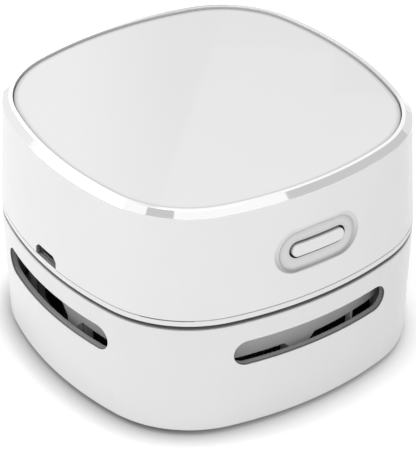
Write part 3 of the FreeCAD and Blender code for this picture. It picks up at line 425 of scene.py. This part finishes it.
plainFinishes = {
    # slot: name, light hex, deep hex, cloud, roughness, grain, relief, edge, ior (None for a metal)
    # even light grey with a broad dull shine
    "cup_grey": ("satin grey ABS", "#D0D0D0", "#C9C9C9", 8, (0.42, 0.5), 0.4, 0.004, 0.1, 1.54),
    # near black, with a thin glint along each thread
    "screen_black": ("woven nylon thread", "#141414", "#0C0C0C", 1, (0.4, 0.5), 0.2, 0.01, 0.05, 1.53),
    # soft grey that hardly shines
    "seal_rubber": ("moulded silicone rubber", "#8C8C8E", "#858587", 3, (0.55, 0.65), 0.3, 0.004, 0.1, 1.41),
    # dull grey with no clear highlight
    "foot_rubber": ("soft thermoplastic rubber", "#9E9EA0", "#949496", 2, (0.6, 0.7), 0.25, 0.01, 0.15, 1.5),
    # soft white with a faint broad shine
    "nozzle_plastic": ("satin white ABS", "#D2D2D3", "#CACACB", 8, (0.35, 0.42), 0.4, 0.004, 0.12, 1.54),
    # black with a waxy, half-dull look
    "brush_plastic": ("moulded polypropylene", "#1C1C1C", "#171717", 4, (0.4, 0.5), 0.5, 0.005, 0.1, 1.49),
    # black hairs with fine glints
    "bristle_nylon": ("drawn nylon filament", "#262626", "#161616", 0.5, (0.3, 0.4), 0.2, 0.002, 0.02, 1.53),
    # off-white, dull and a little pitted
    "adhesive": ("acrylic foam tape", "#DAD9D4", "#D0CFCA", 2, (0.6, 0.75), 0.3, 0.02, 0.05, 1.47),
    # bright cool grey, slightly cloudy
    "screw_steel": ("zinc-plated steel", "#C6C8CC", "#A9ACB2", 0.6, (0.26, 0.38), 0.2, 0.003, 0.08, None),
    # warm silver with soft reflections
    "can_steel": ("nickel-plated drawn steel", "#CFCDC8", "#BDBBB6", 3, (0.22, 0.32), 0.4, 0.002, 0.15, None),
    # clean silver with sharp reflections
    "shaft_steel": ("ground steel", "#D2D3D5", "#BFC0C3", 1, (0.12, 0.2), 0.1, 0.001, 0.05, None),
    # charcoal, dull and grainy
    "magnet": ("sintered ferrite", "#3A3938", "#2E2D2C", 0.5, (0.6, 0.75), 0.2, 0.02, 0.1, 1.5),
    # brown and grey under a thin lacquer
    "armature": ("varnished core plates", "#8A6A4C", "#5C5048", 1, (0.35, 0.5), 0.35, 0.05, 0.05, None),
    # yellow metal with soft reflections
    "brass": ("stamped brass", "#D9BE7C", "#C7A863", 1, (0.25, 0.35), 0.3, 0.003, 0.05, None),
    # ivory with a soft shine
    "motor_nylon": ("moulded nylon", "#E9E7DE", "#E1DFD5", 3, (0.4, 0.5), 0.5, 0.004, 0.12, 1.53),
    # deep grey with a soft shine along the blades
    "impeller_plastic": ("satin black ABS", "#2B2B2D", "#232325", 5, (0.38, 0.46), 0.4, 0.004, 0.12, 1.54),
    # flat black with no reflections
    "chip_black": ("moulded epoxy", "#232323", "#1B1B1B", 0.6, (0.6, 0.7), 0.12, 0.006, 0.05, 1.55),
    # sandy tan, half dull
    "ceramic": ("fired ceramic", "#C8AE8C", "#A98F70", 0.8, (0.4, 0.55), 0.2, 0.004, 0.05, 1.6),
    # cool grey with smeared reflections
    "socket_steel": ("stamped steel shell", "#B9BABC", "#A5A6A8", 1, (0.28, 0.38), 0.3, 0.003, 0.06, None),
    # amber film with a clear shine
    "tape": ("polyimide tape", "#C98A1E", "#B87A16", 2, (0.18, 0.3), 1.2, 0.02, 0.05, 1.7),
    # strong red, soft and half dull
    "lead_red": ("red silicone sleeve", "#B8201C", "#A41A17", 1.5, (0.45, 0.55), 0.3, 0.006, 0.05, 1.43),
    # black, soft and half dull
    "lead_black": ("black silicone sleeve", "#202020", "#181818", 1.5, (0.45, 0.55), 0.3, 0.006, 0.05, 1.43),
    # black, half dull
    "switch_black": ("moulded nylon, black", "#242424", "#1D1D1D", 2, (0.45, 0.55), 0.3, 0.004, 0.08, 1.53),
    # deep green with a glassy shine
    "board_green": ("solder mask on glass epoxy", "#0F6B3A", "#0B5C31", 1.6, (0.25, 0.35), 0.5, 0.008,
                    0.05, 1.5),
    # blue film, glossy and faintly rippled
    "cell_wrap": ("shrunk vinyl sleeve", "#2A6FA8", "#245F92", 5, (0.25, 0.35), 2.5, 0.02, 0.1, 1.54),
}
fields = ("name", "hex", "deepHex", "cloud", "roughness", "grain", "relief", "edge", "ior")
finishes = {
    "white_shell": newMaterial(plasticShell["name"], shellRows(plasticShell, buttonDish)),
    "panel_grey": newMaterial(facePlate["name"], plateRows(facePlate)),
}
for slot, values in plainFinishes.items():
    look = dict(zip(fields, values))
    finishes[slot] = newMaterial(look["name"], plainRows(look))

# these pieces share the shell's slot but need other heights or gaps
ownLooks = {"lower_casing": lowerShell, "motor_deck": innerShell, "power_button": buttonCap}
ownFinishes = {node: newMaterial(look["name"], shellRows(look)) for node, look in ownLooks.items()}

for part in frame["record"]["subparts"]:
    for item in frame["nodes"][part["node"]].material_slots:
        item.material = ownFinishes.get(part["node"], finishes[part["material_slot"]])
print("finishes set")


# Dust screen: flat nylon threads woven over and under, with a welded band along both edges

bodyOutline = {"halfWidth": 42.5, "sideRadius": 83.75, "cornerRadius": 25.9}  # mm
# the real mesh is too fine to show, so the threads are drawn wider and further apart; sizes in mm
dustScreen = {"inset": 8.8, "thickness": 0.5, "pitch": 1.0, "threadWidth": 0.56, "threadDepth": 0.2,
              "sway": 0.14, "bandHeight": 0.9}


def outlineSpots(inset, count):
    # evenly spaced places on the body outline drawn inwards, each with its outward direction
    sideRadius, cornerRadius = bodyOutline["sideRadius"], bodyOutline["cornerRadius"]
    sideCentre = sideRadius - bodyOutline["halfWidth"]
    span = sideRadius - cornerRadius
    # a corner's arc meets the side's arc smoothly, which sets where its centre lies on the diagonal
    cornerCentre = (math.sqrt(2 * span ** 2 - sideCentre ** 2) - sideCentre) / 2
    sideAngle = math.atan2(cornerCentre, cornerCentre + sideCentre)
    arcs = []
    for quarter in range(4):
        start = math.pi / 2 * quarter
        facing = Vector((math.cos(start), math.sin(start)))
        across = Vector((-facing.y, facing.x))
        arcs.append((-facing * sideCentre, sideRadius - inset, start - sideAngle, start + sideAngle))
        arcs.append(((facing + across) * cornerCentre, cornerRadius - inset, start + sideAngle,
                     start + math.pi / 2 - sideAngle))
    lengths = [radius * (end - begin) for _, radius, begin, end in arcs]
    step = sum(lengths) / count
    spots = []
    for index in range(count):
        along = index * step
        for (centre, radius, begin, end), length in zip(arcs, lengths):
            if along < length:
                break
            along -= length
        angle = begin + along / radius
        outward = Vector((math.cos(angle), math.sin(angle)))
        spots.append((centre + outward * radius, outward))
    return spots


def addRun(corners, faces, rings, closed):
    # joins a run of four-cornered rings into one thread
    first = len(corners)
    for ring in rings:
        corners.extend(ring)
    count = len(rings)
    for index in range(count if closed else count - 1):
        here = first + 4 * index
        there = first + 4 * ((index + 1) % count)
        for side in range(4):
            faces.append((here + side, there + side, there + (side + 1) % 4, here + (side + 1) % 4))
    if not closed:
        last = first + 4 * (count - 1)
        faces.append((first + 3, first + 2, first + 1, first))
        faces.append((last, last + 1, last + 2, last + 3))


def ringAt(spot, outward, section):
    # section has steps along the wall and out of it, and heights, all in mm
    along = Vector((-outward.y, outward.x))
    ring = []
    for side, out, height in section:
        place = (spot + along * side + outward * out) * mm
        ring.append((place.x, place.y, height * mm))
    return ring


def makeScreen(look):
    low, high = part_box("filter_screen")
    bottom, top = low.z / mm, high.z / mm
    middle = look["inset"] + look["thickness"] / 2
    around = 2 * math.pi * (bodyOutline["halfWidth"] - middle)
    count = 2 * round(around / look["pitch"] / 2)  # even, so that over and under meet
    spots = outlineSpots(middle, count)
    levels = round((top - bottom - 2 * look["bandHeight"]) / look["pitch"])
    gap = (top - bottom - 2 * look["bandHeight"]) / levels
    heights = [bottom + look["bandHeight"] + gap * (level + 0.5) for level in range(levels)]
    half, depth = look["threadWidth"] / 2, look["threadDepth"] / 2
    corners, faces = [], []
    # upright threads, with their ends held straight in the bands
    for index, (spot, outward) in enumerate(spots):
        rings = []
        for level in range(-1, levels + 1):
            height = heights[level] if 0 <= level < levels else (bottom if level < 0 else top)
            sway = look["sway"] * (-1) ** (index + level) if 0 <= level < levels else 0
            section = [(side, sway + out, height)
                       for side, out in ((-half, -depth), (half, -depth), (half, depth), (-half, depth))]
            rings.append(ringAt(spot, outward, section))
        addRun(corners, faces, rings, False)
    # threads that run round
    for level, height in enumerate(heights):
        rings = []
        for index, (spot, outward) in enumerate(spots):
            sway = -look["sway"] * (-1) ** (index + level)
            section = [(0, sway + out, height + rise)
                       for rise, out in ((-half, -depth), (-half, depth), (half, depth), (half, -depth))]
            rings.append(ringAt(spot, outward, section))
        addRun(corners, faces, rings, True)
    thick = look["thickness"] / 2
    for base in (bottom, top - look["bandHeight"]):
        rim = base + look["bandHeight"]
        section = [(0, -thick, base), (0, thick, base), (0, thick, rim), (0, -thick, rim)]
        addRun(corners, faces, [ringAt(spot, outward, section) for spot, outward in spots], True)
    screen = makeObject("dust_screen_weave", corners, faces, finishes["screen_black"])
    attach(screen, "lower_unit")
    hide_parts("filter_screen")


makeScreen(dustScreen)
print("screen woven")


# Brush: tufts of tapered filaments that splay a little towards the desk

# sizes in mm; a filament keeps its full thickness down to bendShare of its length
brush = {"tufts": 44, "ring": 18.0, "tuftRadius": 0.7, "filaments": 26, "thickness": 0.075, "tip": 0.045,
         "bendShare": 0.55, "splay": 0.16, "shortest": 0.2, "seed": 7}


def makeBristles(look):
    low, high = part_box("brush_bristles")
    bottom, top = low.z / mm, high.z / mm
    draw = random.Random(look["seed"])
    corners, faces = [], []
    for tuft in range(look["tufts"]):
        turn = 2 * math.pi * tuft / look["tufts"]
        root = Vector((math.cos(turn), math.sin(turn))) * look["ring"]
        for _ in range(look["filaments"]):
            lean = draw.uniform(0, 2 * math.pi)
            reach = look["tuftRadius"] - look["splay"] - look["thickness"]
            out = Vector((math.cos(lean), math.sin(lean))) * reach * math.sqrt(draw.random())
            end = bottom + draw.uniform(0, look["shortest"])
            first = len(corners)
            sections = ((0, look["thickness"]), (look["bendShare"], look["thickness"]), (1, look["tip"]))
            for share, radius in sections:
                centre = root + out * (1 + look["splay"] / reach * share * share)
                for side in range(4):
                    angle = lean + math.pi / 2 * side
                    corners.append(((centre.x + radius * math.cos(angle)) * mm,
                                    (centre.y + radius * math.sin(angle)) * mm,
                                    (top + (end - top) * share) * mm))
            for ring in (0, 4):
                for side in range(4):
                    here, there = first + ring + side, first + ring + (side + 1) % 4
                    faces.append((here, here + 4, there + 4, there))
            faces.append((first, first + 1, first + 2, first + 3))
            faces.append((first + 11, first + 10, first + 9, first + 8))
    bristles = makeObject("bristle_tufts", corners, faces, finishes["bristle_nylon"])
    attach(bristles, "lower_unit")
    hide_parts("brush_bristles")


makeBristles(brush)
print("brush planted")
